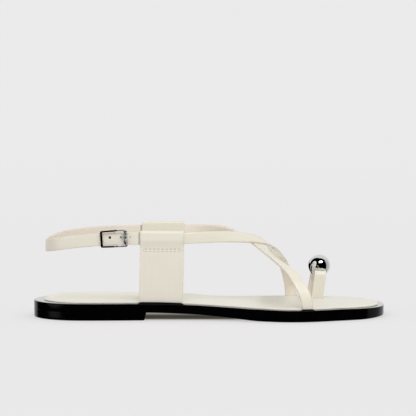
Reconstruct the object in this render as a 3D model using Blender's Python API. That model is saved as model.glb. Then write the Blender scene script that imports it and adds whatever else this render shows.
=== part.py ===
"""A flat sandal for the right foot: two crossed straps with a heel sling and a big-toe loop
on a thin sole with a low heel block.

X runs from the heel to the toe, Y from the outer (lateral) side of the foot to its inner
(medial) side, and Z up from the floor. Sizes and tables are in millimetres.
"""
from collections import namedtuple
from math import cos, pi, radians, sin

import bmesh
import bpy
import numpy as np
from mathutils import Matrix

MM = 0.001
GAP = 0.3                      # clearance between neighbouring pieces

# Sole
LENGTH = 258.0                 # outsole, heel back to toe tip
HEEL_ROUND = 34.0              # length over which the heel end closes
HEEL_SQUARENESS = 2.1          # exponent of the rounded heel end, 2 is an ellipse
TOE_ROUND = 35.0
TOE_SQUARENESS = 2.5
HALF_OUTLINE = 36              # steps along one side of the outline
EDGE = 0.6                     # easing of the sole's edges
HEEL_LENGTH = 83.2             # heel back to the top of the breast
BREAST_SLANT = 1.4             # the breast runs back by this much on its way down

# Insole and the seats of the strap feet on the rim around it
RIM = 4.5                      # width of the rim round the insole
HEEL_RIM = 7.5                 # the same behind the heel
INSOLE_THICKNESS = 1.7
LIP_INSET = 0.7                # outline to the outer face of a lip
LIP_THICKNESS = 1.2
LIP_HEIGHT = 1.6
LIP_ROOT = 0.6                 # how far a lip reaches down into the outsole

# Straps
SLING_WIDTH = 9.2              # behind the tabs
STRAP_WIDTH = 8.3              # in front of them
STRAP_THICKNESS = 2.0
STRAP_CORNER = 0.5
SKIVE = 0.88                   # the short strap is pared to this share where it starts
SAMPLE_STEP = 3.0
SEAT_INSET = LIP_INSET + LIP_THICKNESS + GAP + STRAP_THICKNESS / 2

# Tabs with their tunnels
TAB_BACK = -51.0
TAB_FRONT = -19.5
TAB_LEAN = 1.0                 # how far the top stands forward of the foot
TAB_TOP = {"lateral": 65.4, "medial": 66.7}
TAB_WALL = 0.8
TUNNEL_ROOM = 1.5              # half the width of the tunnel
TUNNEL_BOTTOM = 51.0
TUNNEL_SHOULDER = 55.0         # height at which the tunnel has its full width
FOLD_RADIUS = 1.8
TAB_STATIONS = 5

# Ball on the toe loop
BALL_RADIUS = 8.2
BALL_CENTRE = (82.0, 30.4, 32.9)
TOE_STRAP_WIDTH = 8.8

# Buckle, in the frame of the strap under it: along the strap, up and outward
BUCKLE_X = -69.6
BUCKLE_LENGTH = 20.0
BUCKLE_HEIGHT = 12.7
BUCKLE_BAR = 0.7               # radius of the frame's bar
BUCKLE_CORNER = 1.3
CENTRE_BAR = 0.6               # radius of the bar behind the strap
PRONG = 0.5                    # radius
HOLE_ALONG = 5.2               # centre bar to the hole that the prong goes through

SoleRow = namedtuple("SoleRow", "x lateral medial top bottom")
SOLE = [SoleRow(*row) for row in (
    # x from heel back, the two sides, top of the rim, bottom of the outsole
    (0, -33.0, 23.0, 11.5, 5.9),
    (45, -35.25, 25.25, 11.4, 5.9),
    (82, -33.5, 24.0, 10.8, 5.6),
    (115, -32.5, 23.5, 9.8, 4.4),
    (145, -36.0, 29.5, 8.5, 2.0),
    (167, -41.0, 38.0, 7.6, 0.2),
    (187, -44.2, 43.7, 7.1, 0.0),
    (209, -41.0, 42.5, 7.1, 0.0),
    (225, -35.0, 37.5, 7.2, 0.0),
    (240, -31.0, 34.5, 7.4, 0.1),
    (258, -27.0, 33.0, 7.9, 1.2),
)]

# turn is where the strap's outer face looks in plan: 0 lateral, 90 back, 180 medial.
# rise is how far that face looks up.
StrapRow = namedtuple("StrapRow", "x y z turn rise")
LONG_STRAP = [StrapRow(*row) for row in (
    (71.4, -40.0, 7.5, -11, 0),
    (70.4, -40.1, 15.5, -14, 3),
    (67.2, -38.0, 23.5, -20, 16),
    (63.0, -34.4, 30.4, -28, 30),
    (58.4, -29.4, 35.6, -40, 44),
    (52.2, -22.8, 40.4, -56, 52),
    (45.4, -15.0, 44.8, -60, 50),
    (38.4, -7.0, 49.6, -54, 46),
    (31.6, 0.5, 54.0, -60, 46),
    (22.0, 9.3, 58.6, -110, 52),
    (10.0, 17.6, 60.8, -165, 36),
    (-4.0, 24.0, 60.4, -177, 14),
    (-20.0, 27.0, 59.8, 180, 0),
    (-36.0, 26.6, 59.5, 180, 0),
    (-52.0, 25.9, 59.4, 178, 0),
    (-88.0, 23.0, 58.2, 170, 0),
    (-110.5, 15.5, 55.2, 140, 0),
    (-119.4, -3.7, 52.3, 90, 0),
    (-110.5, -22.3, 54.7, 40, 0),
    (-88.0, -29.0, 58.0, 8, 0),
    (-52.0, -32.0, 59.7, 2, 0),
    (-28.0, -32.2, 59.8, 0, 0),
)]
SHORT_STRAP = [StrapRow(*row) for row in (
    (-44.0, -32.1, 59.7, 0, 0),
    (-20.0, -32.0, 59.9, 0, 0),
    (-6.0, -28.5, 60.1, 0, 5),
    (8.0, -21.0, 59.9, -5, 12),
    (20.0, -13.0, 59.2, -18, 22),
    (30.0, -5.5, 57.6, -42, 32),
    (38.0, 2.5, 54.8, -66, 44),
    (44.0, 9.5, 51.2, -88, 56),
    (49.6, 17.5, 45.0, -110, 56),
    (54.8, 26.5, 36.2, -135, 46),
    (58.8, 34.5, 25.0, -155, 26),
    (61.2, 40.1, 14.0, -176, 4),
    (61.8, 40.9, 7.5, 177, 0),
)]
TOE_LOOP = [StrapRow(*row) for row in (
    (81.0, 22.2, 7.5, -10, 0),
    (82.0, 21.9, 17.0, -10, 0),
    (82.6, 22.4, 24.5, -10, 12),
    (82.6, 25.0, 28.0, -10, 55),
    (81.8, 30.4, 28.8, 0, 90),
    (80.6, 36.2, 27.9, 168, 55),
    (79.6, 38.9, 24.0, 170, 12),
    (78.4, 39.4, 16.5, 178, 0),
    (77.6, 39.4, 7.5, 192, 0),
)]

# Strap feet on the rim: side of the sole, middle and width along X
LipRow = namedtuple("LipRow", "side x width")
LIPS = [LipRow(*row) for row in (
    ("lateral", (TAB_BACK + TAB_FRONT) / 2, TAB_FRONT - TAB_BACK),
    ("medial", (TAB_BACK + TAB_FRONT) / 2, TAB_FRONT - TAB_BACK),
    ("lateral", LONG_STRAP[0].x, STRAP_WIDTH),
    ("medial", SHORT_STRAP[-1].x, STRAP_WIDTH),
    ("medial", TOE_LOOP[-1].x, TOE_STRAP_WIDTH),
)]
LIP_STATIONS = 5

# name: colour, roughness, metallic
FINISHES = {
    "black_sole": ((0.006, 0.006, 0.007), 0.28, 0.0),
    "cream_insole": ((0.78, 0.74, 0.63), 0.45, 0.0),
    "cream_leather": ((0.75, 0.70, 0.59), 0.35, 0.0),
    "chrome": ((0.83, 0.83, 0.84), 0.06, 1.0),
}


def clear_scene():
    for item in list(bpy.data.objects):
        bpy.data.objects.remove(item, do_unlink=True)


def make_collection(name):
    collection = bpy.data.collections.new(name)
    bpy.context.scene.collection.children.link(collection)
    return collection


def make_material(name):
    colour, roughness, metallic = FINISHES[name]
    material = bpy.data.materials.new(name)
    material.use_nodes = True
    shader = material.node_tree.nodes["Principled BSDF"]
    shader.inputs["Base Color"].default_value = (*colour, 1.0)
    shader.inputs["Roughness"].default_value = roughness
    shader.inputs["Metallic"].default_value = metallic
    return material


def smooth(x, knots, values):
    """Cubic through table rows that never swings past them."""
    knots = np.asarray(knots, float)
    values = np.asarray(values, float)
    step = np.diff(knots)
    slope = np.diff(values) / step
    product = slope[:-1] * slope[1:]
    total = np.where(product > 0, slope[:-1] + slope[1:], 1.0)
    tangent = np.concatenate(([slope[0]], np.where(product > 0, 2 * product / total, 0), [slope[-1]]))
    row = np.clip(np.searchsorted(knots, x) - 1, 0, len(step) - 1)
    t = (x - knots[row]) / step[row]
    rise = values[row + 1] - values[row]
    start = tangent[row] * step[row]
    end = tangent[row + 1] * step[row]
    return values[row] + t * (start + t * (3 * rise - 2 * start - end + t * (start + end - 2 * rise)))


def sole_value(x, column):
    """A column of the sole table at a place along X, which is zero at mid length."""
    station = np.clip(np.asarray(x, float) + LENGTH / 2, 0, LENGTH)
    knots = np.array([row.x for row in SOLE], float)
    values = np.array([getattr(row, column) for row in SOLE], float)
    if column in ("top", "bottom"):
        return smooth(station, knots, values)
    return natural_cubic(knots, values[:, None], np.atleast_1d(station))[:, 0].reshape(station.shape)


def end_rounding(station):
    """Share of the width that is left near the heel and toe ends."""
    heel = np.clip(1 - station / HEEL_ROUND, 0, 1)
    toe = np.clip(1 - (LENGTH - station) / TOE_ROUND, 0, 1)
    heel_share = (1 - heel ** HEEL_SQUARENESS) ** (1 / HEEL_SQUARENESS)
    toe_share = (1 - toe ** TOE_SQUARENESS) ** (1 / TOE_SQUARENESS)
    return heel_share * toe_share


def side_line(x, side):
    """Y of one side of the sole at X."""
    middle = (sole_value(x, "lateral") + sole_value(x, "medial")) / 2
    return middle + (sole_value(x, side) - middle) * end_rounding(np.asarray(x, float) + LENGTH / 2)


def outline(inset=0.0):
    """Closed outline: heel back, lateral side, toe tip, medial side."""
    half = -cos_steps(HALF_OUTLINE) * LENGTH / 2
    lateral = np.column_stack((half, side_line(half, "lateral")))
    medial = np.column_stack((half, side_line(half, "medial")))[-2:0:-1]
    points = np.vstack((lateral, medial))
    along = np.roll(points, -1, axis=0) - np.roll(points, 1, axis=0)
    inward = np.column_stack((-along[:, 1], along[:, 0]))
    inward /= np.linalg.norm(inward, axis=1, keepdims=True)
    return points + np.broadcast_to(inset, len(points))[:, None] * inward


def cos_steps(count):
    return np.cos(pi * np.arange(count + 1) / count)


def level_ring(inset, column, lift):
    """The outline drawn in by an inset, at a height above a column of the sole table."""
    points = outline(inset)
    return np.column_stack((points, sole_value(points[:, 0], column) + lift))


def new_object(name, mesh, collection, material):
    mesh.materials.append(material)
    item = bpy.data.objects.new(name, mesh)
    collection.objects.link(item)
    return item


def mesh_from(name, points, faces, sharp=35):
    """Closed mesh in metres with its faces turned outward, shaded smooth but for its edges."""
    mesh = bpy.data.meshes.new(name)
    mesh.from_pydata((np.asarray(points) * MM).tolist(), [], faces)
    shape = bmesh.new()
    shape.from_mesh(mesh)
    bmesh.ops.recalc_face_normals(shape, faces=shape.faces)
    shape.to_mesh(mesh)
    shape.free()
    mesh.shade_smooth()
    mesh.set_sharp_from_angle(angle=radians(sharp))
    return mesh


def skin_faces(sections, loop):
    """Quads between sections that each hold a closed loop of points."""
    return [(s * loop + i, s * loop + (i + 1) % loop, (s + 1) * loop + (i + 1) % loop, (s + 1) * loop + i)
            for s in range(sections - 1) for i in range(loop)]


def skin(name, sections, sharp=35):
    """Solid through closed sections, with flat ends."""
    count, loop = sections.shape[:2]
    last = (count - 1) * loop
    faces = skin_faces(count, loop)
    faces.append(tuple(range(loop)))
    faces.append(tuple(range(last, last + loop)))
    return mesh_from(name, sections.reshape(-1, 3), faces, sharp)


def stacked(name, rings):
    """Solid through outline rings, from the lowest up, closed by strips across the foot."""
    loop = 2 * HALF_OUTLINE
    faces = skin_faces(len(rings), loop)
    for first in (0, (len(rings) - 1) * loop):
        faces.append((first, first + 1, first + loop - 1))
        for i in range(1, HALF_OUTLINE - 1):
            faces.append((first + i, first + i + 1, first + loop - i - 1, first + loop - i))
        toe = first + HALF_OUTLINE
        faces.append((toe - 1, toe, toe + 1))
    return mesh_from(name, np.vstack(rings), faces)


def add_boolean(item, other, operation):
    modifier = item.modifiers.new(operation.lower() + "_" + other.name, "BOOLEAN")
    modifier.operation = operation
    modifier.solver = "EXACT"
    modifier.object = other


def make_cutter(name, mesh, cutters):
    item = bpy.data.objects.new(name, mesh)
    cutters.objects.link(item)
    item.hide_render = True
    item.display_type = "WIRE"
    return item


def natural_cubic(knots, values, t):
    """Cubic spline through rows of values, with free ends."""
    step = np.diff(knots)
    size = len(knots)
    system = np.eye(size)
    bend = np.zeros_like(values)
    for i in range(1, size - 1):
        system[i, i - 1:i + 2] = step[i - 1], 2 * (step[i - 1] + step[i]), step[i]
        bend[i] = 6 * ((values[i + 1] - values[i]) / step[i] - (values[i] - values[i - 1]) / step[i - 1])
    bend = np.linalg.solve(system, bend)
    row = np.clip(np.searchsorted(knots, t) - 1, 0, size - 2)
    width = step[row][:, None]
    before = (knots[row + 1] - t)[:, None]
    after = (t - knots[row])[:, None]
    curve = (bend[row] * before ** 3 + bend[row + 1] * after ** 3) / (6 * width)
    curve += (values[row] / width - bend[row] * width / 6) * before
    return curve + (values[row + 1] / width - bend[row + 1] * width / 6) * after


def unit(vectors):
    return vectors / np.linalg.norm(vectors, axis=-1, keepdims=True)


def route(rows):
    """Points along a strap with the directions along it, outward from its face and across it."""
    points = np.array([(row.x, row.y, row.z) for row in rows])
    turn = np.radians([row.turn for row in rows])
    rise = np.radians([row.rise for row in rows])
    looks = np.column_stack((-np.sin(turn) * np.cos(rise), -np.cos(turn) * np.cos(rise), np.sin(rise)))
    knots = np.concatenate(([0], np.cumsum(np.linalg.norm(np.diff(points, axis=0), axis=1))))
    t = np.linspace(0, knots[-1], int(knots[-1] / SAMPLE_STEP) + 1)
    place = natural_cubic(knots, points, t)
    along = unit(np.gradient(place, t, axis=0))
    outward = np.column_stack([smooth(t, knots, looks[:, axis]) for axis in range(3)])
    outward = unit(outward - along * np.sum(outward * along, axis=1, keepdims=True))
    return place, along, outward, np.cross(outward, along)


def ribbon_sections(rows, width, thickness, scale=1.0, reach=0.0):
    """Sections of a flat strap with eased corners, drawn longer at both ends by a reach."""
    place, along, outward, across = route(rows)
    place[0] -= along[0] * reach
    place[-1] += along[-1] * reach
    half_width = np.broadcast_to(width / 2 * scale, len(place))[:, None]
    half_depth = np.broadcast_to(thickness / 2 * scale, len(place))[:, None]
    ease = STRAP_CORNER
    w = np.concatenate((half_width, half_width - ease), axis=1)
    d = np.concatenate((half_depth - ease, half_depth), axis=1)
    w = np.concatenate((w, -w[:, ::-1], -w, w[:, ::-1]), axis=1)[:, :, None]
    d = np.concatenate((d, d[:, ::-1], -d, -d[:, ::-1]), axis=1)[:, :, None]
    return place[:, None] + across[:, None] * w + outward[:, None] * d


def strap_width(rows):
    """The straps are broader behind the tabs than in front of them."""
    return np.interp(route(rows)[0][:, 0], (TAB_BACK, TAB_FRONT), (SLING_WIDTH, STRAP_WIDTH))


def trim_level(section):
    """Cuts the foot of a strap level, just above the rim that it stands on."""
    section[:, 2] = sole_value(section[:, 0], "top") + GAP


def build_outsole(collection, cutters, material):
    rings = [
        level_ring(EDGE, "bottom", 0),
        level_ring(0, "bottom", EDGE),
        level_ring(0, "top", -EDGE),
        level_ring(EDGE, "top", 0),
    ]
    outsole = new_object("outsole", stacked("outsole", rings), collection, material)
    for number, row in enumerate(LIPS):
        lip = make_cutter(f"lip_{number}", lip_mesh(row), cutters)
        add_boolean(outsole, lip, "UNION")


def lip_mesh(row):
    """Low wall on the rim that follows the outline outside a strap's foot."""
    x = np.linspace(row.x - row.width / 2, row.x + row.width / 2, LIP_STATIONS)
    inward = 1 if row.side == "lateral" else -1
    y_edge = side_line(x, row.side)
    slope = np.gradient(y_edge, x)
    stretch = np.hypot(1, slope)
    y_outer = y_edge + inward * LIP_INSET * stretch
    y_inner = y_outer + inward * LIP_THICKNESS * stretch
    top = sole_value(x, "top")
    corners = [(y_outer, top - LIP_ROOT), (y_outer, top + LIP_HEIGHT),
               (y_inner, top + LIP_HEIGHT), (y_inner, top - LIP_ROOT)]
    return skin("lip", np.stack([np.column_stack((x, y, z)) for y, z in corners], axis=1))


def build_heel(collection, material):
    """Block under the heel seat: the outline lofted to the floor and cut off at the breast."""
    upper = level_ring(0, "bottom", -GAP)
    upper[:, 2] = np.maximum(upper[:, 2], 3 * EDGE)
    rings = [outline(EDGE), outline(0)]
    rings = [np.column_stack((ring, np.full(len(ring), height))) for ring, height in zip(rings, (0, EDGE))]
    mesh = stacked("heel", rings + [upper])
    breast_x = HEEL_LENGTH - LENGTH / 2
    breast_height = sole_value(breast_x, "bottom")
    shape = bmesh.new()
    shape.from_mesh(mesh)
    cut = bmesh.ops.bisect_plane(
        shape, geom=shape.verts[:] + shape.edges[:] + shape.faces[:], dist=1e-6,
        plane_co=(breast_x * MM, 0, breast_height * MM),
        plane_no=(breast_height, 0, -BREAST_SLANT), clear_outer=True)
    rim = [edge for edge in cut["geom_cut"] if isinstance(edge, bmesh.types.BMEdge)]
    bmesh.ops.contextual_create(shape, geom=rim)
    bmesh.ops.recalc_face_normals(shape, faces=shape.faces)
    shape.to_mesh(mesh)
    shape.free()
    mesh.set_sharp_from_angle(angle=radians(35))
    new_object("heel", mesh, collection, material)


def build_insole(collection, toe_slot, material):
    """Flat sock inside the rim, which is broader round the back of the heel."""
    back = np.clip(1 - (outline()[:, 0] + LENGTH / 2) / HEEL_ROUND, 0, 1)
    rim = RIM + (HEEL_RIM - RIM) * back
    rings = [
        level_ring(rim, "top", GAP),
        level_ring(rim, "top", GAP + INSOLE_THICKNESS - EDGE / 2),
        level_ring(rim + EDGE / 2, "top", GAP + INSOLE_THICKNESS),
    ]
    insole = new_object("insole", stacked("insole", rings), collection, material)
    add_boolean(insole, toe_slot, "DIFFERENCE")


def build_straps(collection, cutters, prong_hole, material):
    """The upper: the long strap with its sling, and the short strap fused on over it."""
    long_sections = ribbon_sections(LONG_STRAP, strap_width(LONG_STRAP), STRAP_THICKNESS)
    trim_level(long_sections[0])
    straps = new_object("straps", skin("straps", long_sections), collection, material)
    count = len(route(SHORT_STRAP)[0])
    pared = np.interp(np.arange(count), (0, count / 4), (SKIVE, 1.0))
    short_sections = ribbon_sections(SHORT_STRAP, strap_width(SHORT_STRAP), STRAP_THICKNESS, pared)
    trim_level(short_sections[-1])
    short = make_cutter("short_strap", skin("short_strap", short_sections), cutters)
    add_boolean(straps, short, "UNION")
    add_boolean(straps, prong_hole, "DIFFERENCE")


def tab_loop(foot, head, tunnel):
    """Closed profile of a tab across the foot, from foot and head (y, z of the mid line).

    The band is two layers thick up to the tunnel, where it opens round the strap and folds
    over. With tunnel set, it is the hole instead.
    """
    room = TUNNEL_ROOM if tunnel else TUNNEL_ROOM + TAB_WALL
    top = head[1] - TAB_WALL if tunnel else head[1]
    radius = FOLD_RADIUS - TAB_WALL if tunnel else FOLD_RADIUS
    stem = 0.05 if tunnel else STRAP_THICKNESS / 2
    angle = np.radians((0, 30, 60, 90))
    z_fold = top - radius + radius * np.sin(angle)
    half_fold = room - radius + radius * np.cos(angle)
    z_open = np.linspace(TUNNEL_BOTTOM if tunnel else TUNNEL_BOTTOM - 2, TUNNEL_SHOULDER, 5)
    eased = (1 - np.cos(np.linspace(0, pi, 5))) / 2
    half_open = stem + (room - stem) * eased
    z_stem = np.array([]) if tunnel else np.linspace(foot[1], TUNNEL_BOTTOM - 2, 6)[:-1]
    z = np.concatenate((z_stem, z_open, z_fold))
    half = np.concatenate((np.full(len(z_stem), stem), half_open, half_fold))
    share = np.clip((z - foot[1]) / (TUNNEL_SHOULDER - foot[1]), 0, 1)
    middle = foot[0] + (head[0] - foot[0]) * np.sin(share * pi / 2)
    outer = np.column_stack((middle + half, z))
    inner = np.column_stack((middle - half, z))[::-1]
    return np.vstack((outer, inner))


def tab_sections(side, strap_points, tunnel):
    """Profiles along X whose feet follow the seat and whose tunnels follow the strap."""
    inward = 1 if side == "lateral" else -1
    reach = 2.0 if tunnel else 0.0
    lines = []
    for x in np.linspace(TAB_BACK - reach, TAB_FRONT + reach, TAB_STATIONS):
        slope = (side_line(x + 1, side) - side_line(x - 1, side)) / 2
        foot = (side_line(x, side) + inward * SEAT_INSET * np.hypot(1, slope),
                sole_value(x, "top") + GAP)
        head = (np.interp(x, strap_points[:, 0], strap_points[:, 1]), TAB_TOP[side])
        loop = tab_loop(foot, head, tunnel)
        lean = TAB_LEAN * (loop[:, 1] - foot[1]) / (head[1] - foot[1])
        lines.append(np.column_stack((x + lean, loop)))
    return np.stack(lines)


def build_tab(side, strap_points, collection, cutters, material):
    name = f"{side}_tab"
    tab = new_object(name, skin(name, tab_sections(side, strap_points, False)), collection, material)
    hole = skin(f"{side}_tunnel", tab_sections(side, strap_points, True))
    add_boolean(tab, make_cutter(f"{side}_tunnel", hole, cutters), "DIFFERENCE")


def build_toe_loop(collection, material):
    sections = ribbon_sections(TOE_LOOP, TOE_STRAP_WIDTH, STRAP_THICKNESS)
    trim_level(sections[0])
    trim_level(sections[-1])
    new_object("toe_loop", skin("toe_loop", sections), collection, material)


def toe_slot_mesh():
    """The toe loop with clearance all round: what it goes through is cut with this."""
    room = 2 * GAP
    return skin("toe_slot", ribbon_sections(TOE_LOOP, TOE_STRAP_WIDTH + room, STRAP_THICKNESS + room, reach=3.0))


def build_toe_ball(collection, toe_slot, material):
    mesh = bpy.data.meshes.new("toe_ball")
    shape = bmesh.new()
    bmesh.ops.create_uvsphere(shape, u_segments=32, v_segments=18, radius=BALL_RADIUS * MM)
    bmesh.ops.translate(shape, verts=shape.verts, vec=[value * MM for value in BALL_CENTRE])
    shape.to_mesh(mesh)
    shape.free()
    mesh.shade_smooth()
    ball = new_object("toe_ball", mesh, collection, material)
    add_boolean(ball, toe_slot, "DIFFERENCE")


def buckle_frame_matrix():
    """Frame of the strap under the buckle: x along it, y up across it, z outward."""
    place, along, outward, across = route(LONG_STRAP)
    lateral = np.where(place[:, 1] < 0, np.abs(place[:, 0] - BUCKLE_X), np.inf)
    here = int(np.argmin(lateral))
    matrix = Matrix.Identity(4)
    origin = place[here] + along[here] * (BUCKLE_X - place[here, 0]) / along[here, 0]
    for column, vector in enumerate((along[here], across[here], outward[here], origin * MM)):
        for row in range(3):
            matrix[row][column] = vector[row]
    return matrix


def wire_mesh(name, points, radius, closed=False):
    """Round wire through points, as a closed mesh."""
    curve = bpy.data.curves.new(name, "CURVE")
    curve.dimensions = "3D"
    curve.bevel_depth = radius * MM
    curve.bevel_resolution = 2
    curve.use_fill_caps = not closed
    spline = curve.splines.new("POLY")
    spline.points.add(len(points) - 1)
    for point, place in zip(spline.points, points):
        point.co = (*[value * MM for value in place], 1)
    spline.use_cyclic_u = closed
    item = bpy.data.objects.new(name, curve)
    bpy.context.scene.collection.objects.link(item)
    bpy.context.view_layer.update()
    mesh = bpy.data.meshes.new_from_object(item.evaluated_get(bpy.context.evaluated_depsgraph_get()))
    bpy.data.objects.remove(item, do_unlink=True)
    bpy.data.curves.remove(curve)
    shape = bmesh.new()
    shape.from_mesh(mesh)
    bmesh.ops.remove_doubles(shape, verts=shape.verts, dist=1e-6)
    bmesh.ops.recalc_face_normals(shape, faces=shape.faces)
    shape.to_mesh(mesh)
    shape.free()
    mesh.shade_smooth()
    mesh.set_sharp_from_angle(angle=radians(50))
    return mesh


def buckle_front():
    """Distance from the strap's mid plane out to the middle of the buckle's frame."""
    return STRAP_THICKNESS / 2 + GAP + BUCKLE_BAR


def buckle_outline():
    """Rounded rectangle through the middle of the frame's bar."""
    half_length = BUCKLE_LENGTH / 2 - BUCKLE_BAR - BUCKLE_CORNER
    half_height = BUCKLE_HEIGHT / 2 - BUCKLE_BAR - BUCKLE_CORNER
    points = []
    for quarter, (x, y) in enumerate(((1, 1), (-1, 1), (-1, -1), (1, -1))):
        for step in range(4):
            angle = (quarter + step / 3) * pi / 2
            points.append((x * half_length + BUCKLE_CORNER * cos(angle),
                           y * half_height + BUCKLE_CORNER * sin(angle), buckle_front()))
    return points


def build_buckle(collection, cutters, matrix, material):
    """Rectangular frame in front of the strap with its centre bar carried behind it."""
    frame = new_object("buckle_frame", wire_mesh("buckle_frame", buckle_outline(), BUCKLE_BAR, closed=True),
                       collection, material)
    rail = BUCKLE_HEIGHT / 2 - BUCKLE_BAR
    behind = -(STRAP_THICKNESS / 2 + GAP + CENTRE_BAR)
    bow = [(0, rail, buckle_front()), (0, rail, behind), (0, -rail, behind), (0, -rail, buckle_front())]
    bar = make_cutter("centre_bar", wire_mesh("centre_bar", bow, CENTRE_BAR), cutters)
    add_boolean(frame, bar, "UNION")
    frame.matrix_world = matrix
    bar.matrix_world = matrix


def prong_route():
    """From the centre bar along the back of the strap, out at the hole and on to the end bar."""
    behind = -(STRAP_THICKNESS / 2 + GAP + PRONG)
    over = buckle_front() + BUCKLE_BAR + GAP + PRONG
    end_bar = BUCKLE_LENGTH / 2 - BUCKLE_BAR
    return [(CENTRE_BAR + GAP, 0, behind), (HOLE_ALONG - 1.6, 0, behind), (HOLE_ALONG - 0.4, 0, behind / 2),
            (HOLE_ALONG + 0.5, 0, over / 2), (HOLE_ALONG + 1.8, 0, over - 0.4), (end_bar - 1.2, 0, over),
            (end_bar + 1.0, 0, over)]


def build_prong(collection, matrix, material):
    prong = new_object("buckle_prong", wire_mesh("buckle_prong", prong_route(), PRONG), collection, material)
    prong.matrix_world = matrix


def main():
    clear_scene()
    parts = make_collection("toe_loop_sandal")
    cutters = make_collection("cutters")
    finish = {name: make_material(name) for name in FINISHES}
    matrix = buckle_frame_matrix()
    toe_slot = make_cutter("toe_slot", toe_slot_mesh(), cutters)
    prong_hole = make_cutter("prong_hole", wire_mesh("prong_hole", prong_route(), PRONG + GAP), cutters)
    prong_hole.matrix_world = matrix

    build_outsole(parts, cutters, finish["black_sole"])
    build_heel(parts, finish["black_sole"])
    build_insole(parts, toe_slot, finish["cream_insole"])
    long_points = route(LONG_STRAP)[0]
    medial = long_points[long_points[:, 1] > 0][::-1]
    lateral = route(SHORT_STRAP)[0]
    long_lateral = long_points[(long_points[:, 1] < 0) & (long_points[:, 0] < TAB_FRONT)]
    lateral = np.vstack((long_lateral, lateral[lateral[:, 0] > long_lateral[-1, 0]]))
    build_tab("lateral", lateral[np.argsort(lateral[:, 0])], parts, cutters, finish["cream_leather"])
    build_tab("medial", medial[np.argsort(medial[:, 0])], parts, cutters, finish["cream_leather"])
    build_straps(parts, cutters, prong_hole, finish["cream_leather"])
    build_toe_loop(parts, finish["cream_leather"])
    build_toe_ball(parts, toe_slot, finish["chrome"])
    build_buckle(parts, cutters, matrix, finish["chrome"])
    build_prong(parts, matrix, finish["chrome"])


main()
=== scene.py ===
import bmesh
import bpy
import numpy as np
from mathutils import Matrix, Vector


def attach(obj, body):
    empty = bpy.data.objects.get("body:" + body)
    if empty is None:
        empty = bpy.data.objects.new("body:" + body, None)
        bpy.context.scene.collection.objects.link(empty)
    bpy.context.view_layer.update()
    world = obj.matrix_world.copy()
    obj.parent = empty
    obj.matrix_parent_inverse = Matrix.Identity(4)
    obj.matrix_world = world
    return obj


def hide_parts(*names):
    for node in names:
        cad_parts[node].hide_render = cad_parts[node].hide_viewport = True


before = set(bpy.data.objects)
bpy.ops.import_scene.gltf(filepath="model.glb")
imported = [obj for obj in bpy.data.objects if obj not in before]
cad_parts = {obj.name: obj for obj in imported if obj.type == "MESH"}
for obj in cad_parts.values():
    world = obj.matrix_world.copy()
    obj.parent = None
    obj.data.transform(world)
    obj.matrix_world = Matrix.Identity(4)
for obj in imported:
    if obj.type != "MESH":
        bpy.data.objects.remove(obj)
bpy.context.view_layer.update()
mm = 0.001  # tables are in millimetres, X heel to toe, Y outer to inner side
inward = dict(lateral=1, medial=-1)  # along Y, from a side to the middle of the shoe
faceFrom = 0.4  # from this share of a section's depth on, relief is added
weld = 2e-6  # points closer than this, in metres, become one
sharpFrom = 40  # degrees between two faces from which their edge stays sharp
print("frame loaded:", len(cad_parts), "nodes")


# numbers and curves

def unit(vectors):
    # each vector divided by its own length
    return vectors / np.linalg.norm(vectors, axis=-1, keepdims=True)


def ease(t):
    # smooth step: 0 below 0, 1 above 1, and 3t^2 - 2t^3 between
    t = np.clip(t, 0, 1)
    return t * t * (3 - 2 * t)


def ramp(value, limits):
    # smooth step of the value from the first limit to the second
    return ease((value - limits[0]) / (limits[1] - limits[0]))


def dents(value, rows):
    # sum of bell curves, a row each: middle, width, height
    return sum(height * np.exp(-((value - middle) / width) ** 2) for middle, width, height in rows)


def waves(t, share, rows):
    # sum of sines, a row each: height, waves along, waves across, start
    return sum(height * np.sin(along * t + across * share + start) for height, along, across, start in rows)


def runLength(points):
    # distance from the first point along the line of points
    return np.concatenate(([0], np.cumsum(np.linalg.norm(np.diff(points, axis=0), axis=1))))


def naturalCubic(knots, values, t):
    # cubic through the rows with free ends: the bends at the knots solve a three-band system
    knots, values, t = np.asarray(knots, float), np.asarray(values, float), np.asarray(t, float)
    step = np.diff(knots)
    inner = np.arange(1, len(knots) - 1)
    system = np.eye(len(knots))
    system[inner, inner - 1] = step[:-1]
    system[inner, inner] = 2 * (step[:-1] + step[1:])
    system[inner, inner + 1] = step[1:]
    bend = np.zeros_like(values)
    bend[1:-1] = 6 * np.diff(np.diff(values, axis=0) / step[:, None], axis=0)
    bend = np.linalg.solve(system, bend)
    row = np.clip(np.searchsorted(knots, t) - 1, 0, len(step) - 1)
    width, before, after = step[row][:, None], (knots[row + 1] - t)[:, None], (t - knots[row])[:, None]
    curve = (bend[row] * before ** 3 + bend[row + 1] * after ** 3) / (6 * width)
    curve += (values[row] / width - bend[row] * width / 6) * before
    return curve + (values[row + 1] / width - bend[row + 1] * width / 6) * after


def tameCubic(knots, values, t):
    # cubic that never swings past its rows: each tangent is the harmonic mean of the slopes beside it
    knots, values = np.asarray(knots, float), np.asarray(values, float)
    step = np.diff(knots)
    slope = np.diff(values) / step
    product = slope[:-1] * slope[1:]
    mean = np.where(product > 0, 2 * product / np.where(product > 0, slope[:-1] + slope[1:], 1), 0)
    tangent = np.concatenate((slope[:1], mean, slope[-1:]))
    row = np.clip(np.searchsorted(knots, t) - 1, 0, len(step) - 1)
    s = (t - knots[row]) / step[row]
    rise, start, end = values[row + 1] - values[row], tangent[row] * step[row], tangent[row + 1] * step[row]
    return values[row] + s * (start + s * (3 * rise - 2 * start - end + s * (start + end - 2 * rise)))


def facing(turn, rise):
    # direction after a turn in plan from -Y towards +X and a rise, both in radians
    return np.stack((np.sin(turn) * np.cos(rise), -np.cos(turn) * np.cos(rise), np.sin(rise)), -1)


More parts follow.
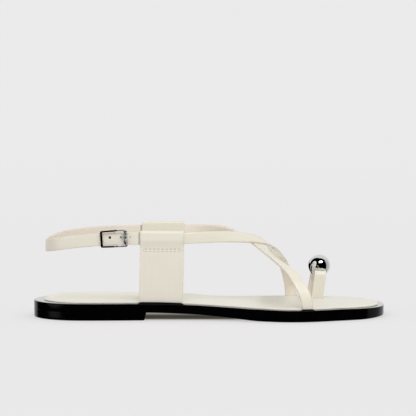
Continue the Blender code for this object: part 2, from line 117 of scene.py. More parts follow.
def polarGrid(rows, columns):
    # rows of rings as (share of the way from the first to the last, angle), both as grids
    angle = np.linspace(0, 2 * np.pi, columns, endpoint=False)
    return np.meshgrid(np.linspace(0, 1, rows), angle, indexing="ij")


def gridFaces(rows, columns, roundRows=False, roundColumns=True):
    # quad (i, j) joins points (i, j), (i, j+1), (i+1, j+1), (i+1, j); a round side joins end and start
    i = np.arange(rows if roundRows else rows - 1)[:, None]
    j = np.arange(columns if roundColumns else columns - 1)[None, :]
    iNext, jNext = (i + 1) % rows, (j + 1) % columns
    corners = (i * columns + j, i * columns + jNext, iNext * columns + jNext, iNext * columns + j)
    return np.stack(np.broadcast_arrays(*corners), axis=-1).reshape(-1, 4).tolist()


def cappedFaces(rows, columns):
    # a skin round all the rows, and one face over the first row and one over the last
    ends = [list(range(first, first + columns)) for first in (0, (rows - 1) * columns)]
    return gridFaces(rows, columns) + ends


def joined(parts):
    # several pairs of points and faces as one pair
    points, faces, start = [], [], 0
    for grid, own in parts:
        points.append(grid.reshape(-1, 3))
        faces += [[i + start for i in face] for face in own]
        start += len(points[-1])
    return np.vstack(points), faces


def putMesh(name, points, faces, material=None, uv=None, face=None, sharp=sharpFrom):
    # a mesh of the points: doubles merged so that seams and poles close, faces turned outward
    mesh = bpy.data.meshes.new(name)
    mesh.from_pydata((np.asarray(points, float).reshape(-1, 3) * mm).tolist(), [], faces)
    if uv is not None:
        corner = np.empty(len(mesh.loops), np.int32)
        mesh.loops.foreach_get("vertex_index", corner)
        layer = mesh.uv_layers.new(name="along")
        flat = (np.asarray(uv).reshape(-1, 2) * mm)[corner]
        layer.data.foreach_set("uv", flat.astype(np.float32).ravel())
    if face is not None:
        layer = mesh.attributes.new("face", "FLOAT", "POINT")
        layer.data.foreach_set("value", np.asarray(face).ravel().astype(np.float32))
    shape = bmesh.new()
    shape.from_mesh(mesh)
    bmesh.ops.remove_doubles(shape, verts=shape.verts, dist=weld)
    bmesh.ops.recalc_face_normals(shape, faces=shape.faces)
    shape.to_mesh(mesh)
    shape.free()
    mesh.shade_smooth()
    mesh.set_sharp_from_angle(angle=np.radians(sharp))
    if material:
        mesh.materials.append(material)
    piece = bpy.data.objects.new(name, mesh)
    bpy.context.scene.collection.objects.link(piece)
    return piece


def cutAway(piece, cutter):
    # takes the cutter's closed form out of the piece, then removes the cutter
    cut = piece.modifiers.new("cut", "BOOLEAN")
    cut.operation, cut.solver, cut.object = "DIFFERENCE", "EXACT", cutter
    bpy.context.view_layer.update()
    result = bpy.data.meshes.new_from_object(piece.evaluated_get(bpy.context.evaluated_depsgraph_get()))
    piece.modifiers.clear()
    piece.data = result
    result.set_sharp_from_angle(angle=np.radians(sharpFrom))
    bpy.data.objects.remove(cutter, do_unlink=True)


def keep(piece, node):
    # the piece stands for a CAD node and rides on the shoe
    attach(piece, "root")
    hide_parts(node)
    print(piece.name, "for", node, len(piece.data.polygons), "faces")
    return piece


# finishes

class Wire:
    # one output socket of a material: +, - and * on it add Math nodes
    def __init__(self, tree, socket=None):
        self.tree, self.socket = tree, socket

    def node(self, kind, values=None, out=0, **settings):
        # any node: its settings are set first, then its sockets get values or links
        made = self.tree.nodes.new("ShaderNode" + kind)
        for name, value in settings.items():
            setattr(made, name, value)
        for name, value in (values or {}).items():
            if isinstance(value, Wire):
                self.tree.links.new(value.socket, made.inputs[name])
            else:
                made.inputs[name].default_value = value
        return Wire(self.tree, made.outputs[out] if made.outputs else None)

    def place(self):
        # object coordinates, in metres
        return self.node("TexCoord", out="Object")

    def along(self):
        # the piece's own UV map: along it and across it
        return self.node("UVMap", uv_map="along")

    def face(self):
        # the piece's attribute: 1 on its outer face or rim, less at its edges, -1 on a lining
        return self.node("Attribute", out="Fac", attribute_name="face")

    def math(self, operation, first, second):
        # one Math node on two values
        return self.node("Math", {0: first, 1: second}, operation=operation)

    def __add__(self, other):
        return self.math("ADD", self, other)

    def __sub__(self, other):
        return self.math("SUBTRACT", self, other)

    def __rsub__(self, other):
        return self.math("SUBTRACT", other, self)

    def __mul__(self, other):
        return self.math("MULTIPLY", self, other)

    __radd__, __rmul__ = __add__, __mul__  # the same either way round

    def step(self, low, high):
        # smooth step of this value from low to high
        values = {"Value": self, "From Min": low, "From Max": high}
        return self.node("MapRange", values, interpolation_type="SMOOTHSTEP")

    def mix(self, first, second):
        # from the first colour to the second as this value goes from 0 to 1
        first, second = (c if isinstance(c, Wire) else (*c, 1) for c in (first, second))
        return self.node("Mix", {0: self, 6: first, 7: second}, 2, data_type="RGBA")

    def stretch(self, scale):
        # this vector with each axis scaled
        return self.node("VectorMath", {0: self, 1: scale}, operation="MULTIPLY")

    def axis(self, number):
        # X, Y or Z of this vector
        return self.node("SeparateXYZ", {0: self}, number)

    def between(self, limits):
        # 1 between the inner two of four limits, falling to 0 at the outer two
        return self.step(*limits[:2]) * (1 - self.step(*limits[2:]))

    def noise(self, scale, detail=2.0, roughness=0.5):
        # cloudy noise at this place
        values = {"Vector": self, "Scale": scale, "Detail": detail, "Roughness": roughness}
        return self.node("TexNoise", values)

    def pores(self, scale):
        # distance from this place to the nearest of many scattered points
        return self.node("TexVoronoi", {"Vector": self, "Scale": scale, "Randomness": 1.0})

    def bump(self, strength, distance):
        # this height as a normal
        return self.node("Bump", {"Strength": strength, "Distance": distance, "Height": self})


def newFinish(name):
    # the first wire of a new material that has no nodes yet
    material = bpy.data.materials.new(name)
    material.use_nodes = True
    material.node_tree.nodes.clear()
    wire = Wire(material.node_tree)
    wire.material = material
    return wire


shaderSockets = dict(
    colour="Base Color", roughness="Roughness", metallic="Metallic", specular="Specular IOR Level",
    coat="Coat Weight", coatRoughness="Coat Roughness", coatIor="Coat IOR")


def shade(wire, look, height=None, **varying):
    # a Principled shader wired to the output: each socket takes what varies or else the look's value, and the
    # height becomes its normal
    given = {**look, **varying}
    values = {socket: given[name] for name, socket in shaderSockets.items() if name in given}
    if height:
        values["Normal"] = height.bump(*look["bump"])
    wire.node("OutputMaterial", {"Surface": wire.node("BsdfPrincipled", values)})
    return wire.material


def tint(colour, share):
    # the colour made lighter or darker by a share
    return tuple(min(1.0, c * (1 + share)) for c in colour)


def clouded(noise, colour, shares):
    # the colour made lighter or darker by the first share where the noise is 0, by the second where it is 1
    return noise.mix(*(tint(colour, share) for share in shares))


# in every look a noise is its scale, detail and roughness, and bump its strength and height

leatherLook = dict(
    outer=(0.820, 0.780, 0.668), edge=(0.780, 0.715, 0.615), lining=(0.905, 0.825, 0.720),
    shadedSlingLining=(0.785, 0.705, 0.610), shadedSlingX=(-0.085, -0.03),  # painted shade: darker lining in the sling
    litCrossingLining=(0.98, 0.95, 0.86), litCrossingX=(0.030, 0.038), litCrossingZ=(0.036, 0.044),  # painted light: paler lining at the crossing
    liningTo=(-0.92, -0.6), outerFrom=(0.45, 0.9), grainFrom=(0.3, 0.95),  # limits on the attribute
    cloudNoise=(55, 3), cloudTint=(-0.022, 0.022), edgeNoise=(300, 3), edgeTint=(-0.05, 0.05),
    streakStretch=(28, 900, 1), streakNoise=(1.0, 3, 0.6), streakFrom=(0.35, 0.75), streak=0.18,
    streakTint=-0.10, fibreNoise=(420, 4, 0.7), fibre=0.05, fibreTint=-0.2,
    poreScale=1500, poreFrom=(0.05, 0.55), fineNoise=(900, 3), bump=(0.07, 0.0001),
    grain=(0.5, 0.4, 0.2),  # height of the pores, the streaks and the fine noise
    roughness=0.40, dull=0.12, specular=0.45, coat=0.10, coatRoughness=0.22,
    paintedMouthShadow=(-0.0518, -0.0510, -0.0499, -0.0494), paintedMouthShadowStrength=0.0, paintedMouthShadowTint=-0.6)  # X of the painted shadow line where a strap enters a tab's tunnel; its strength and tint


def creamLeather(name, look):
    # outer face, painted edge and lining told apart by the attribute; streaks run along the UV map
    wire = newFinish(name)
    place, along, face = wire.place(), wire.along(), wire.face()
    x, z = place.axis(0), place.axis(2)
    cloud = place.noise(*look["cloudNoise"])
    streak = along.stretch(look["streakStretch"]).noise(*look["streakNoise"])
    streaked = streak.step(*look["streakFrom"]) * look["streak"]
    outer = clouded(cloud, look["outer"], look["cloudTint"])
    outer = streaked.mix(outer, tint(look["outer"], look["streakTint"]))
    # painted shade: the lining darker in the sling
    lining = x.step(*look["shadedSlingX"]).mix(look["shadedSlingLining"], look["lining"])
    # painted light: the lining paler where the short strap crosses the long one
    lining = (x.step(*look["litCrossingX"]) * z.step(*look["litCrossingZ"])).mix(lining, look["litCrossingLining"])
    fibre = place.noise(*look["fibreNoise"]) * look["fibre"]
    lining = fibre.mix(lining, tint(look["shadedSlingLining"], look["fibreTint"]))
    edge = clouded(place.noise(*look["edgeNoise"]), look["edge"], look["edgeTint"])
    colour = face.step(*look["liningTo"]).mix(lining, face.step(*look["outerFrom"]).mix(edge, outer))
    # painted shadow: a thin dark line on the strap just outside each tab's tunnel mouth
    paintedMouthShadow = x.between(look["paintedMouthShadow"]) * look["paintedMouthShadowStrength"]
    colour = paintedMouthShadow.mix(colour, tint(look["edge"], look["paintedMouthShadowTint"]))
    pore = place.pores(look["poreScale"]).step(*look["poreFrom"])
    poreHeight, streakHeight, fineHeight = look["grain"]
    grain = pore * poreHeight + streak * streakHeight + place.noise(*look["fineNoise"]) * fineHeight
    grain = grain * face.step(*look["grainFrom"])
    roughness = look["roughness"] + (cloud - 0.5) * look["dull"]
    return shade(wire, look, grain, colour=colour, roughness=roughness)


insoleLook = dict(
    colour=(0.842, 0.815, 0.720), edge=(0.85, 0.81, 0.71), topFrom=(0.2, 0.75),
    cloudNoise=(26, 4, 0.55), cloudTint=(-0.022, 0.02),
    pale=0.12, paintedLightX=(-0.06, -0.01), paintedLightY=(-0.008, 0.010),  # painted light: paler on the heel's inner side
    poreScale=1300, poreFrom=(0.05, 0.5), fineNoise=(500, 4, 0.6), bump=(0.12, 0.00012),
    grain=(0.5, 0.8),  # height of the pores and the fine noise
    roughness=0.46, dull=0.14, specular=0.42, coat=0.05, coatRoughness=0.3)


def insoleLeather(name, look):
    # smooth sock leather: wide faint clouds, fine pores and a cut edge
    wire = newFinish(name)
    place, face = wire.place(), wire.face()
    cloud = place.noise(*look["cloudNoise"])
    # painted light: the heel's inner side made paler
    pale = place.axis(1).step(*look["paintedLightY"]) * (1 - place.axis(0).step(*look["paintedLightX"]))
    top = pale.mix(clouded(cloud, look["colour"], look["cloudTint"]), tint(look["colour"], look["pale"]))
    colour = face.step(*look["topFrom"]).mix(look["edge"], top)
    pore = place.pores(look["poreScale"]).step(*look["poreFrom"])
    poreHeight, fineHeight = look["grain"]
    grain = pore * poreHeight + place.noise(*look["fineNoise"]) * fineHeight
    roughness = look["roughness"] + (cloud - 0.5) * look["dull"]
    return shade(wire, look, grain, colour=colour, roughness=roughness)


soleLook = dict(
    colour=(0.0008, 0.0008, 0.0008), scuff=(0.003, 0.003, 0.003), scuffNoise=(120, 5, 0.65),
    scuffFrom=(0.55, 0.8), lineStretch=(14, 14, 1700), lineNoise=(1.0, 3, 0.6), fineNoise=(1900, 3),
    bump=(0.22, 0.0001), grain=(0.8, 0.3),  # height of the lines and the fine noise
    roughness=0.13, scuffDull=0.08, lineDull=0.06, specular=0.12, coatRoughness=0.07, coatIor=1.7)


def blackSole(name, look):
    # inked side with fine lines from trimming and a few dull scuffs; the attribute tells the lacquered rim
    wire = newFinish(name)
    place, rim = wire.place(), wire.face()
    lines = place.stretch(look["lineStretch"]).noise(*look["lineNoise"])
    scuff = place.noise(*look["scuffNoise"]).step(*look["scuffFrom"])
    lineHeight, fineHeight = look["grain"]
    grain = lines * lineHeight + place.noise(*look["fineNoise"]) * fineHeight
    roughness = look["roughness"] + scuff * look["scuffDull"] + (lines - 0.5) * look["lineDull"]
    colour = scuff.mix(look["colour"], look["scuff"])
    return shade(wire, look, grain, colour=colour, roughness=roughness, coat=rim)


chromeLook = dict(
    dark=(0.66, 0.66, 0.655), light=(0.71, 0.71, 0.705), swirlNoise=(340, 4, 0.6), swirlDull=0.03,
    rippleNoise=(160, 2), bump=(0.05, 0.0001), metallic=1.0, roughness=0.035)


def chromePlate(name, look):
    # bright plating: a hair of swirl in the polish and very low ripples
    wire = newFinish(name)
    place = wire.place()
    swirl = place.noise(*look["swirlNoise"])
    ripple = place.noise(*look["rippleNoise"])
    roughness = look["roughness"] + swirl * look["swirlDull"]
    return shade(wire, look, ripple, colour=swirl.mix(look["dark"], look["light"]), roughness=roughness)


threadLook = dict(groove=(0.53, 0.46, 0.38), ply=(0.68, 0.61, 0.52), twist=900.0, wander=1.0, roughness=0.62,
                  bump=(0.5, 0.00008))


def sewingThread(name, look):
    # two twisted plies: slanting ridges from the UV map
    wire = newFinish(name)
    values = {"Vector": wire.along(), "Scale": look["twist"], "Distortion": look["wander"]}
    twist = wire.node("TexWave", values, bands_direction="DIAGONAL")
    return shade(wire, look, twist, colour=twist.mix(look["groove"], look["ply"]))


# painted shadow in the punched holes
holeShadowLook = dict(dark=(0.020, 0.014, 0.010), light=(0.045, 0.034, 0.025), noise=(3000, 3),
                roughness=0.9, specular=0.1)


def holeShadowFinish(name, look):
    # painted shadow: a near-black floor for the shade deep in a punched hole
    wire = newFinish(name)
    noise = wire.place().noise(*look["noise"])
    return shade(wire, look, colour=noise.mix(look["dark"], look["light"]))


cream = creamLeather("creamLeather", leatherLook)
# straps: a slightly darker, warmer copy of the leather as painted shade, and the painted shadow line at the
# tunnel mouths
strapCream = creamLeather("strapLeather", dict(leatherLook, outer=(0.812, 0.768, 0.650), paintedMouthShadowStrength=0.6))
insoleFinish = insoleLeather("insoleLeather", insoleLook)
black = blackSole("blackSole", soleLook)
chrome = chromePlate("chromePlate", chromeLook)
thread = sewingThread("sewingThread", threadLook)
holeShadow = holeShadowFinish("holeShadowFinish", holeShadowLook)
print("finishes ready")


# studio

studio = dict(
    background=(0.838, 0.826, 0.832), mirrored=0.90, fill=0.60,  # seen, mirrored and fill light
    floorColour=(0.50, 0.495, 0.498), floorGlow=(0.525, 0.517, 0.521), floorRadius=1.7, floorLevel=-0.2,
    floorNoise=(9, 2), floorTint=(-0.004, 0), floorGrid=(24, 96), cardGrid=(49, 33),
    fadeFrom=0.45, archX=(-0.062, -0.050, 0.018, 0.045), archY=(-0.031, -0.020, -0.008, 0.023),
    paintedArchShadowGlow=(0.045, 0.043, 0.030),  # painted shadow: the floor's low glow under the arch, fading back to its full glow towards the far side
    softboxSize=(1.0, 0.5), softboxPower=7.3, softboxDistance=1.25, softboxAim=(11, 52),
    # shown in reflections only: centre, distance, turns and rises of a patch of a sphere, glow, how oval
    cards=dict(frontFlag=((0, 0, 0), 2.6, (-125, 91), (-89, 88), (0, 0, 0), 0),
               rightFlag=((0, 0, 0), 2.5, (78, 118), (-45, 40), (0.62, 0.62, 0.62), 0),
               ballFlag=((82.55, 30.4, 32.9), 0.050, (-172, -112), (-38, 8), (0, 0, 0), 0),
               leftWindow=((0, 0, 0), 2.0, (-86, -36), (-9, 46), (1.05, 1.05, 1.03), 0.7),
               highlight=((0, 0, 0), 1.25, (-2, 45), (36, 56), (4.2, 4.2, 4.2), 0)),
    cameraPlace=(-0.0009, -2.0, 0.2682), cameraAim=(-0.0009, 0.0, 0.079), lens=236.07, sensor=36)


def floorFinish():
    # pale matt floor that fades out with the distance, so no edge or horizon shows
    wire = newFinish("paleFloor")
    place = wire.place()
    away = wire.node("VectorMath", {0: place}, 1, operation="LENGTH")
    colour = clouded(place.noise(*studio["floorNoise"]), studio["floorColour"], studio["floorTint"])
    # painted shadow: the floor glows far less under the arch
    paintedArchShadowMask = place.axis(0).between(studio["archX"]) * place.axis(1).between(studio["archY"])
    paint = wire.node("BsdfDiffuse", {"Color": colour})
    glow = wire.node("Emission", {"Color": paintedArchShadowMask.mix(studio["floorGlow"], studio["paintedArchShadowGlow"])})
    floor = wire.node("AddShader", {0: paint, 1: glow})
    gone = away.step(studio["fadeFrom"], studio["floorRadius"])
    both = wire.node("MixShader", {0: gone, 1: floor, 2: wire.node("BsdfTransparent")})
    wire.node("OutputMaterial", {"Surface": both})
    return wire.material


def setStudio():
    # floor disc, cards for reflections only, softbox, even surround and the camera
    scene = bpy.context.scene
    scene.view_settings.view_transform = "Standard"
    share, turn = polarGrid(*studio["floorGrid"])
    reach = share ** 2 * studio["floorRadius"] / mm
    level = np.full_like(turn, studio["floorLevel"])
    disc = np.stack((reach * np.cos(turn), reach * np.sin(turn), level), -1)
    floor = putMesh("floor", disc, gridFaces(*share.shape), floorFinish())
    floor.visible_glossy = False
    u, v = np.meshgrid(*(np.linspace(-1, 1, count) for count in studio["cardGrid"]), indexing="ij")
    for name, (centre, distance, turns, rises, glow, oval) in studio["cards"].items():
        turn = np.radians(np.mean(turns) + np.ptp(turns) / 2 * u * np.sqrt(1 - oval * v ** 2 / 2))
        rise = np.radians(np.mean(rises) + np.ptp(rises) / 2 * v * np.sqrt(1 - oval * u ** 2 / 2))
        dome = np.array(centre) + facing(turn, rise) * distance / mm
        wire = newFinish(name)
        wire.node("OutputMaterial", {"Surface": wire.node("Emission", {"Color": (*glow, 1)})})
        card = putMesh(name, dome, gridFaces(*u.shape, roundColumns=False), wire.material)
        for kind in ("camera", "diffuse", "shadow", "transmission", "volume_scatter"):
            setattr(card, "visible_" + kind, False)

    light = bpy.data.lights.new("softbox", "AREA")
    light.shape, light.energy = "RECTANGLE", studio["softboxPower"]
    light.size, light.size_y = studio["softboxSize"]
    softbox = bpy.data.objects.new("softbox", light)
    softbox.location = studio["softboxDistance"] * Vector(facing(*np.radians(studio["softboxAim"])))
    softbox.rotation_euler = softbox.location.to_track_quat("Z", "Y").to_euler()
    softbox.visible_glossy = False
    scene.collection.objects.link(softbox)
    unlit = bpy.data.collections.new("unlitBySoftbox")  # the floor takes the even surround only
    unlit.objects.link(floor)
    unlit.collection_objects[0].light_linking.link_state = "EXCLUDE"
    softbox.light_linking.receiver_collection = unlit

    world = bpy.data.worlds.new("evenSurround")  # seen and mirrored brighter than it lights
    world.use_nodes = True
    world.node_tree.nodes.clear()
    world.cycles.sampling_method = "NONE"
    wire = Wire(world.node_tree)
    colour = wire.node("LightPath", out="Is Camera Ray").mix((studio["fill"],) * 3, studio["background"])
    colour = wire.node("LightPath", out="Is Glossy Ray").mix(colour, (studio["mirrored"],) * 3)
    wire.node("OutputWorld", {"Surface": wire.node("Background", {"Color": colour})})
    scene.world = world

    camera = bpy.data.objects.new("camera", bpy.data.cameras.new("camera"))
    camera.data.lens, camera.data.sensor_width = studio["lens"], studio["sensor"]
    camera.location = studio["cameraPlace"]
    view = Vector(studio["cameraAim"]) - camera.location
    camera.rotation_euler = view.to_track_quat("-Z", "Y").to_euler()
    scene.collection.objects.link(camera)
    scene.camera = camera


setStudio()
print("studio ready")


# sole

sole = dict(
    length=258.0, steps=150, heel=(34.0, 2.1), toe=(35.0, 2.5),  # reach and squareness of the round ends
    x=(0, 45, 82, 115, 145, 167, 187, 209, 225, 240, 258),  # from the back of the heel
    lateral=(-33, -35.25, -33.5, -32.5, -36, -41, -44.2, -41, -35, -31, -27),
    medial=(23, 25.25, 24, 23.5, 29.5, 38, 43.7, 42.5, 37.5, 34.5, 33),
    top=(12.2, 12.25, 12.2, 11.2, 9.7, 8.8, 8.4, 8.4, 8.4, 8.15, 7.7),
    bed=(12.9, 13.2, 13.2, 12.2, 10.7, 9.75, 9.2, 9.2, 9.25, 9.1, 8.9),
    bottom=(5.9, 5.9, 5.6, 4.4, 2.0, 0.2, 0, 0, 0, 0, 0.7),
    edge=0.6, rimEdge=0.3, sideTop=1.6, rimInset=3.0, hiddenInset=8.5,
    heelLength=83.2, breastSlant=1.4, heelLevels=(2.2, 4.0), heelSink=0.25,
    rim=4.5, heelRim=7.5, insoleLift=0.1, insoleEdge=0.6, insoleDish=0.25, dishShare=0.35,
    archRise=1.1, archX=(6.0, -14.0), archY=(-12.0, 14.0),  # the bed's rise to the inner side
    bottomRows=(0, 0.35, 0.7, 0.94), edgeRows=6, heelRows=5, heelSteps=60, breastSteps=14,
    insoleRows=8, bedRows=(0.97, 0, 16))  # shares of the way out, or how many rows and steps


def station(x):
    # distance from the back of the heel, for the sole table
    return np.clip(x + sole["length"] / 2, 0, sole["length"])


def soleLevel(x, column):
    # height in one column of the table at X
    return tameCubic(sole["x"], sole[column], station(x))


def soleSide(x, side):
    # Y of one side at X: the side's line drawn to the middle line by the rounded heel and toe ends
    x = np.asarray(x, float)
    along = station(x.ravel())
    lines = naturalCubic(sole["x"], np.column_stack((sole["lateral"], sole["medial"])), along)
    share = 1.0
    for distance, (reach, power) in ((along, sole["heel"]), (sole["length"] - along, sole["toe"])):
        share = share * (1 - np.clip(1 - distance / reach, 0, 1) ** power) ** (1 / power)
    middle = lines.mean(axis=1)
    return (middle + (lines[:, list(inward).index(side)] - middle) * share).reshape(x.shape)


def leftOf(loop):
    # direction to the left of a closed outline at each point, square to the line between its neighbours
    along = np.roll(loop, -1, axis=0) - np.roll(loop, 1, axis=0)
    return unit(np.column_stack((-along[:, 1], along[:, 0])))


def soleLoop(inset=0.0):
    # closed outline: heel back, lateral side, toe tip, medial side, moved inward by the inset
    half = -np.cos(np.pi * np.arange(sole["steps"] + 1) / sole["steps"]) * sole["length"] / 2
    lateral, medial = (np.column_stack((half, soleSide(half, side))) for side in inward)
    loop = np.vstack((lateral, medial[-2:0:-1]))
    return loop + np.broadcast_to(inset, len(loop))[:, None] * leftOf(loop)


def soleMesh(name, rows, face, material):
    # a ring for each row (share, inset, column, lift): that share of the way from the middle line to the
    # inset outline, lifted above a column of the table; face is the attribute of each ring
    rings = []
    for share, inset, column, lift in rows:
        loop = soleLoop(inset)
        middle = (loop + loop[-np.arange(len(loop))]) / 2
        plan = middle + (loop - middle) * share
        lift = lift(plan) if callable(lift) else lift
        rings.append(np.column_stack((plan, soleLevel(plan[:, 0], column) + lift)))
    faces = gridFaces(len(rings), len(loop))
    return putMesh(name, rings, faces, material, face=np.repeat(face, len(loop)))


def quarter(count):
    # cosine and sine over a quarter turn
    angle = np.linspace(0, np.pi / 2, count)
    return np.cos(angle), np.sin(angle)


def makeOutsole():
    # bottom, rounded edge, upright side, rounded edge, rim and the hidden bed under the insole
    edge, rimEdge = sole["edge"], sole["rimEdge"]
    c, s = quarter(sole["edgeRows"])
    lower = [(share, edge, "bottom", 0) for share in sole["bottomRows"]]
    lower += [(1, edge * (1 - a), "bottom", edge * (1 - b)) for a, b in zip(s, c)]
    lower += [(1, 0, "top", -sole["sideTop"])]
    bend = [(1, rimEdge * (1 - a), "top", -rimEdge * (1 - b)) for a, b in zip(c, s)]
    inner = [(1, sole["rimInset"], "top", 0)]
    inner += [(share, sole["hiddenInset"], "top", 0) for share in (1, 0.5, 0)]
    rim = np.concatenate((np.zeros(len(lower)), s ** 2, np.ones(len(inner))))  # how far a row is on the rim
    return keep(soleMesh("outsoleBody", lower + bend + inner, rim, black), "outsole")


def makeHeel():
    # the outline up to the slanted breast, lofted from the eased floor edge to the outsole
    edge, back, top = sole["edge"], -sole["length"] / 2, sole["bottom"][0]
    c, s = quarter(sole["heelRows"])
    heights = [(edge * (1 - a), edge * (1 - b)) for a, b in zip(s, c)]
    heights += [(0, height) for height in (*sole["heelLevels"], top)]
    rings = []
    for inset, height in heights:
        breast = back + sole["heelLength"] - sole["breastSlant"] * (1 - height / top) - inset
        half = back + (breast - back) * (1 - quarter(sole["heelSteps"])[0])
        lateral, medial = (np.column_stack((half, soleSide(half, side))) for side in inward)
        across = np.linspace(medial[-1], lateral[-1], sole["breastSteps"])[1:-1]
        loop = np.vstack((lateral[::-1], medial[1:], across))
        sides = (np.arange(len(loop)) < len(loop) - len(across))[:, None]  # the breast has its inset already
        loop = loop - leftOf(loop) * inset * sides
        seat = soleLevel(loop[:, 0], "bottom") + sole["heelSink"]
        rings.append(np.column_stack((loop, seat if height == top else np.full(len(loop), height))))
    return keep(putMesh("heelBlock", rings, cappedFaces(*np.shape(rings)[:2]), black), "heel")


def insoleBed(share, drop=0.0):
    # lift over the bed's column at a share of the way out: dished, and higher on the heel's inner side
    def height(plan):
        rise = sole["archRise"] * ramp(plan[:, 0], sole["archX"]) * ramp(plan[:, 1], sole["archY"])
        return rise - sole["insoleDish"] * ease((1 - share) / sole["dishShare"]) - drop
    return height


def makeInsole():
    # sock inside the rim: upright edge rolled over at the top, then the bed to the middle line
    back = np.clip(1 - station(soleLoop()[:, 0]) / sole["heel"][0], 0, 1)
    rim = sole["rim"] + (sole["heelRim"] - sole["rim"]) * back
    edge = sole["insoleEdge"]
    c, s = quarter(sole["insoleRows"])
    rows = [(share, rim, "top", sole["insoleLift"]) for share in (0, 0.6, 1)]
    rows += [(1, rim + edge * (1 - a), "bed", insoleBed(1, edge * (1 - b))) for a, b in zip(c, s)]
    bed = np.linspace(*sole["bedRows"])
    rows += [(share, rim + edge, "bed", insoleBed(share)) for share in bed]
    return soleMesh("insoleSock", rows, np.concatenate(([-1, -1, 0], s, np.ones(len(bed)))), insoleFinish)


# strap feet: low black walls on the rim, outside each foot

lips = dict(inset=0.7, thickness=1.2, root=0.6, past=0.8, taper=1.6, sink=0.3, seat=3.2, steps=33, topSteps=9,
            # side, middle and width along X, height
            rows=(("lateral", -35.25, 31.5, 1.15), ("medial", -35.25, 31.5, 1.15),
                  ("lateral", 71.4, 8.3, 0.9), ("medial", 61.8, 8.3, 0.9), ("medial", 77.6, 8.8, 0.9)))


def makeLips():
    # a wall with a round top carried along the outline, sinking into the rim at both ends
    parts = []
    angle = np.linspace(0, np.pi, lips["topSteps"])
    half = lips["thickness"] / 2
    across = np.concatenate(([half], half * np.cos(angle), [-half]))
    for side, middle, width, height in lips["rows"]:
        reach = width / 2 + lips["past"]
        x = np.linspace(middle - reach, middle + reach, lips["steps"])
        line = soleSide(x, side)
        stretch = np.hypot(1, np.gradient(line, x))
        rise = ease((reach - abs(x - middle)) / lips["taper"]) * (height - half + lips["sink"]) - lips["sink"]
        upper = rise[:, None] + half * np.sin(angle)
        low = np.full((len(x), 1), -lips["root"])
        z = soleLevel(x, "top")[:, None] + np.concatenate((low, upper, low), axis=1)
        y = (line + inward[side] * (lips["inset"] + half) * stretch)[:, None] + stretch[:, None] * across
        grid = np.stack(np.broadcast_arrays(x[:, None], y, z), -1)
        parts.append((grid, cappedFaces(*grid.shape[:2])))
    return keep(putMesh("footLips", *joined(parts), black), "outsole")


makeOutsole()
makeHeel()
makeLips()
insolePiece = makeInsole()
print("sole ready")


# straps

strap = dict(
    slingWidth=9.2, width=8.3, tabX=(-51.0, -19.5), thickness=2.0, corner=0.72, step=1.2, skive=0.88,
    sink=0.2, crown=0.12, edgeWaves=((0.05, 1 / 9.0, 2.0, 0), (0.03, 1 / 3.7, -3.0, 1.3)),
    # x, y, z, then where the outer face looks: turn in plan (0 lateral, 90 back, 180 medial) and rise
    long=((71.4, -40, 7.5, -11, 0), (70.4, -40.1, 15.5, -14, 3), (67.2, -38, 23.5, -20, 16),
          (63, -34.4, 30.4, -28, 30), (58.4, -29.4, 35.6, -40, 44), (52, -22.8, 40.4, -58, 55),
          (45.3, -15, 44.9, -80, 63), (38.4, -7, 50, -65, 58), (32, 0.5, 54.5, -50, 48),
          (22, 9.3, 58.6, -110, 52), (10, 17.6, 60.8, -165, 36), (-4, 24, 60.4, -177, 14),
          (-20, 27, 59.8, 180, 0), (-36, 26.6, 59.5, 180, 0), (-52, 25.9, 59.4, 178, 0),
          (-88, 23, 58.2, 170, 0), (-110.5, 15.5, 55.2, 140, 0), (-119.4, -3.7, 52.3, 90, 0),
          (-110.5, -22.3, 54.7, 40, 0), (-88, -29, 58, 8, 0), (-52, -32, 59.7, 2, 0),
          (-28, -32.2, 59.8, 0, 0)),
    short=((-44, -32.1, 59.7, 0, 0), (-20, -32, 59.9, 0, 0), (-6, -28.5, 60.1, 0, 5), (8, -21, 59.9, -5, 12),
           (20, -13, 58.9, -19, 24), (30, -5.5, 57.5, -42, 36), (38.2, 2.5, 54.9, -66, 50),
           (44, 9.5, 51, -110, 52), (49.3, 17.5, 44.5, -148, 52), (54.8, 26.5, 36.2, -142, 46),
           (58.8, 34.5, 25, -155, 26), (61.2, 40.1, 14, -176, 4), (61.8, 40.9, 7.5, 177, 0)))

toeLoop = dict(
    width=8.8, thickness=2.0, step=0.35, slotRoom=0.5, slotCorner=0.5, slotReach=3.0,
    crease=((20.9, 0.45, -0.22),), pleats=((0.084, 0.05, 9, 0), (0.056, -0.09, 17, 1)),
    path=((80.2, 22.2, 7.5, -10, 0), (81.5, 21.9, 17, -10, 0), (82.3, 21.8, 22.5, -10, 0),
          (82.75, 21.8, 26.9, -10, 0), (82.8, 22.5, 28.6, -10, 45), (82.8, 24.3, 29.2, -10, 80),
          (82.2, 30.4, 29.5, 0, 90), (81.2, 36.2, 28.9, 168, 55), (80.3, 38.9, 24.6, 170, 12),
          (79, 39.4, 16.5, 178, 0), (77.8, 39.4, 7.5, 192, 0)))


def strapRoute(rows, step):
    # cubic through the rows by their spacing, with directions along, outward from the face and across it
    rows = np.array(rows, float)
    turn, rise = np.radians(rows[:, 3:]).T
    looks = facing(-turn, rise)
    knots = runLength(rows[:, :3])
    t = np.linspace(0, knots[-1], int(knots[-1] / step) + 1)
    place = naturalCubic(knots, rows[:, :3], t)
    along = unit(np.gradient(place, t, axis=0))
    outward = np.column_stack([tameCubic(knots, looks[:, axis], t) for axis in range(3)])
    outward = unit(outward - along * np.sum(outward * along, axis=1, keepdims=True))
    return t, place, along, outward, np.cross(outward, along)


